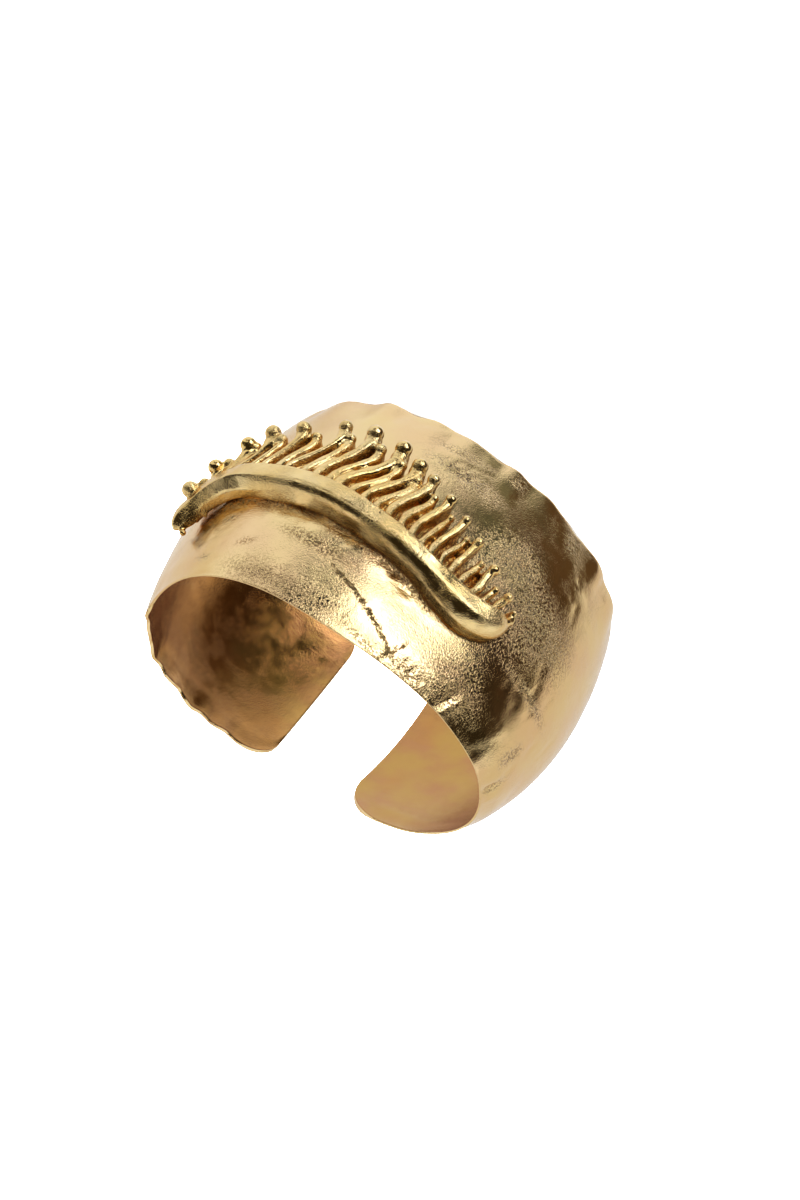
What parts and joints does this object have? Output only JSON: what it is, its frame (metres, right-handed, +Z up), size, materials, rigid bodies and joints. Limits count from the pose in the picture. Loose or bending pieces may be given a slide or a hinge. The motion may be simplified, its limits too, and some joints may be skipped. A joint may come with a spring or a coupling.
{
  "type": "open cuff bracelet",
  "caption": "Wide domed cuff bracelet of hammered metal sheet with a gap at the back of the wrist and a raised crest of club-ended lashes across its front.",
  "frame": {"origin": "under the middle of the whole cuff's box, on the surface that it lies on", "axes": "+X across the wrist, along the longest extent; +Y from the crest at the front of the wrist to the gap at its back; +Z up, along the wrist, the shortest extent"},
  "size_m": [0.0742, 0.0626, 0.0509],
  "materials": {
    "satin_gold_tone": "hammered and satin brushed, pale gold plate",
    "polished_gold_tone": "cast and polished, deeper gold plate"
  },
  "bodies": {
    "root": {"cuff_band": "satin_gold_tone", "lash_crest": "polished_gold_tone"}
  },
  "joints": []
}
